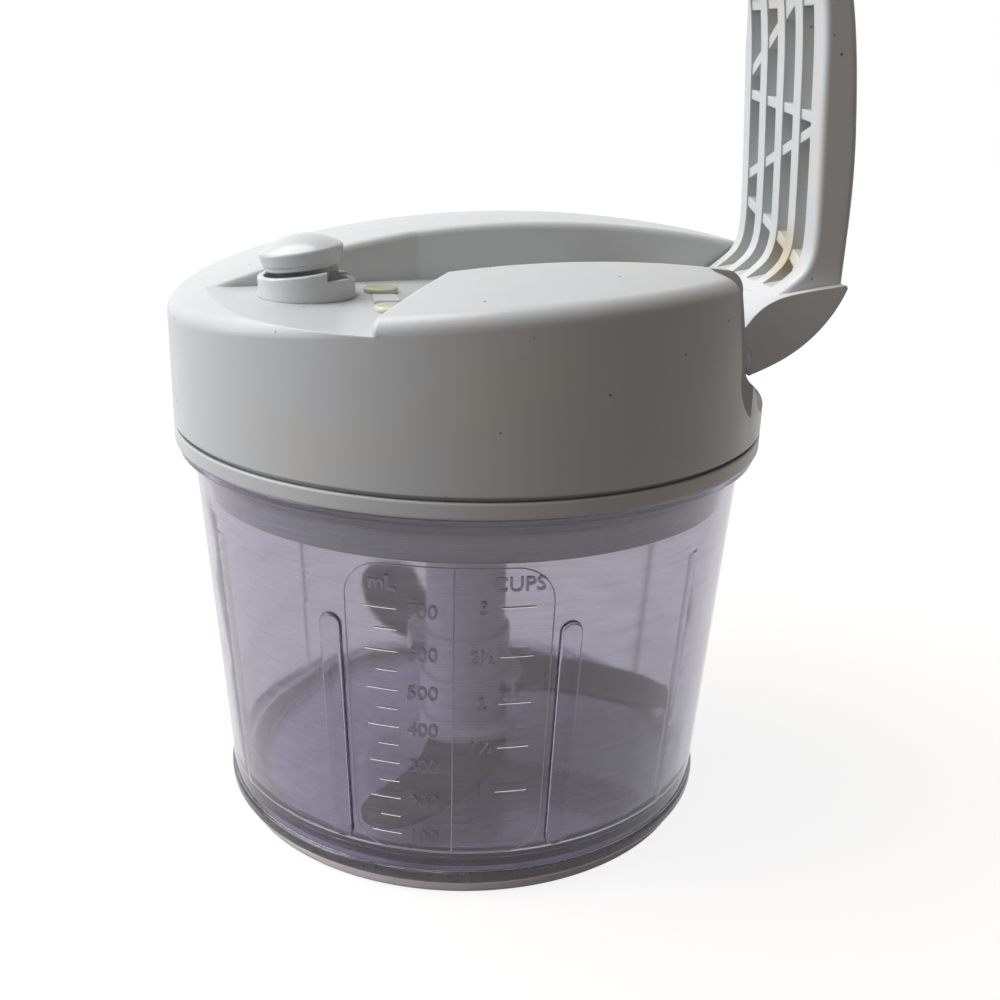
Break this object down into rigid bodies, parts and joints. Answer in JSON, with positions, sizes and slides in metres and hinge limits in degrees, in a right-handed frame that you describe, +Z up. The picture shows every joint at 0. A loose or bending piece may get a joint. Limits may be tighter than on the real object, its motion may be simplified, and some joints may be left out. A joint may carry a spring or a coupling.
{
  "type": "pump-lever food chopper",
  "caption": "Hand-pumped food chopper: clear tapered bowl, domed lid with a hinged ribbed lever, gear drive, stacked curved blades and a rocking latch button.",
  "frame": {"origin": "middle of the base pad's underside, on the bowl axis", "axes": "+Z up along the bowl axis, +X from the axis towards the lever hinge, +Y across the lid"},
  "size_m": [0.1418, 0.136, 0.1896],
  "materials": {
    "bowl_clear": "clear moulded plastic with a faint violet tint",
    "base_rubber": "satin non-slip rubber",
    "pin_steel": "ground steel pin",
    "lid_plastic": "light grey moulded plastic, satin gloss",
    "lever_plastic": "light grey moulded plastic, satin gloss",
    "latch_plastic": "light grey moulded plastic, gloss",
    "seal_rubber": "soft grey rubber",
    "fastener_steel": "plain steel",
    "bumper_amber": "translucent aged silicone",
    "spring_steel": "spring wire",
    "bracket_steel": "pressed sheet steel",
    "gear_nylon": "moulded nylon",
    "hub_plastic": "light grey moulded plastic",
    "blade_steel": "brushed stainless sheet",
    "bush_brass": "turned brass"
  },
  "bodies": {
    "bowl_body": {"bowl": "bowl_clear", "base_pad": "base_rubber", "bowl_post": "pin_steel"},
    "lid": {"lid_housing": "lid_plastic", "lid_base": "lid_plastic", "lid_seal": "seal_rubber", "lid_screws": "fastener_steel", "latch_collar": "latch_plastic", "bumper_far": "bumper_amber", "bumper_near": "bumper_amber", "hinge_pin": "pin_steel", "return_spring": "spring_steel", "gear_bracket": "bracket_steel", "shaft_bridge": "bracket_steel", "frame_rivets": "fastener_steel", "idler_pin": "pin_steel", "latch_pin": "pin_steel", "latch_spring": "spring_steel"},
    "lever_body": {"lever": "lever_plastic", "sector_gear": "gear_nylon"},
    "idler": {"idler_gear": "gear_nylon"},
    "cross_drive": {"cross_shaft": "pin_steel", "cross_pinion": "gear_nylon", "crown_wheel": "gear_nylon"},
    "output": {"output_pinion": "gear_nylon", "output_shaft": "pin_steel", "drive_socket": "hub_plastic", "shaft_clip": "fastener_steel"},
    "blades": {"blade_hub": "hub_plastic", "blade_lower": "blade_steel", "blade_middle": "blade_steel", "blade_upper": "blade_steel", "hub_bush_lower": "bush_brass", "hub_bush_upper": "bush_brass"},
    "latch": {"latch_button": "latch_plastic"}
  },
  "joints": [
    {"name": "lid_lift", "type": "slide", "parent": "bowl_body", "child": "lid", "axis": [0, 0, 1], "range_m": [0, 0.12]},
    {"name": "lever_hinge", "type": "hinge", "parent": "lid", "child": "lever_body", "pos_m": [0.047, -0.019, 0.113], "axis": [0, -1, 0], "range_deg": [0, 90], "stiffness_Nm_per_rad": 0.12, "springref_deg": -17.19},
    {"name": "idler_turn", "type": "hinge", "parent": "lid", "child": "idler", "pos_m": [0.01892, -0.019, 0.10576], "axis": [0, -1, 0], "range_deg": [-112, 1]},
    {"name": "cross_turn", "type": "hinge", "parent": "lid", "child": "cross_drive", "pos_m": [0, -0.019, 0.104], "axis": [0, -1, 0], "range_deg": [-1, 241]},
    {"name": "output_turn", "type": "hinge", "parent": "lid", "child": "output", "pos_m": [0, 0, 0.085], "axis": [0, 0, 1], "range_deg": [-1, 721]},
    {"name": "blade_spin", "type": "hinge", "parent": "bowl_body", "child": "blades", "pos_m": [0, 0, 0.03], "axis": [0, 0, 1], "range_deg": [-1, 721]},
    {"name": "latch_press", "type": "hinge", "parent": "lid", "child": "latch", "pos_m": [-0.0372, -0.018, 0.1275], "axis": [0, 1, 0], "range_deg": [0, 8], "stiffness_Nm_per_rad": 0.03, "springref_deg": -5.73}
  ],
  "couplings": [
    {"joint": "idler_turn", "follows": "lever_hinge", "ratio": -1.2308},
    {"joint": "cross_turn", "follows": "lever_hinge", "ratio": 2.6667},
    {"joint": "output_turn", "follows": "lever_hinge", "ratio": 8},
    {"joint": "blade_spin", "follows": "lever_hinge", "ratio": 8}
  ]
}
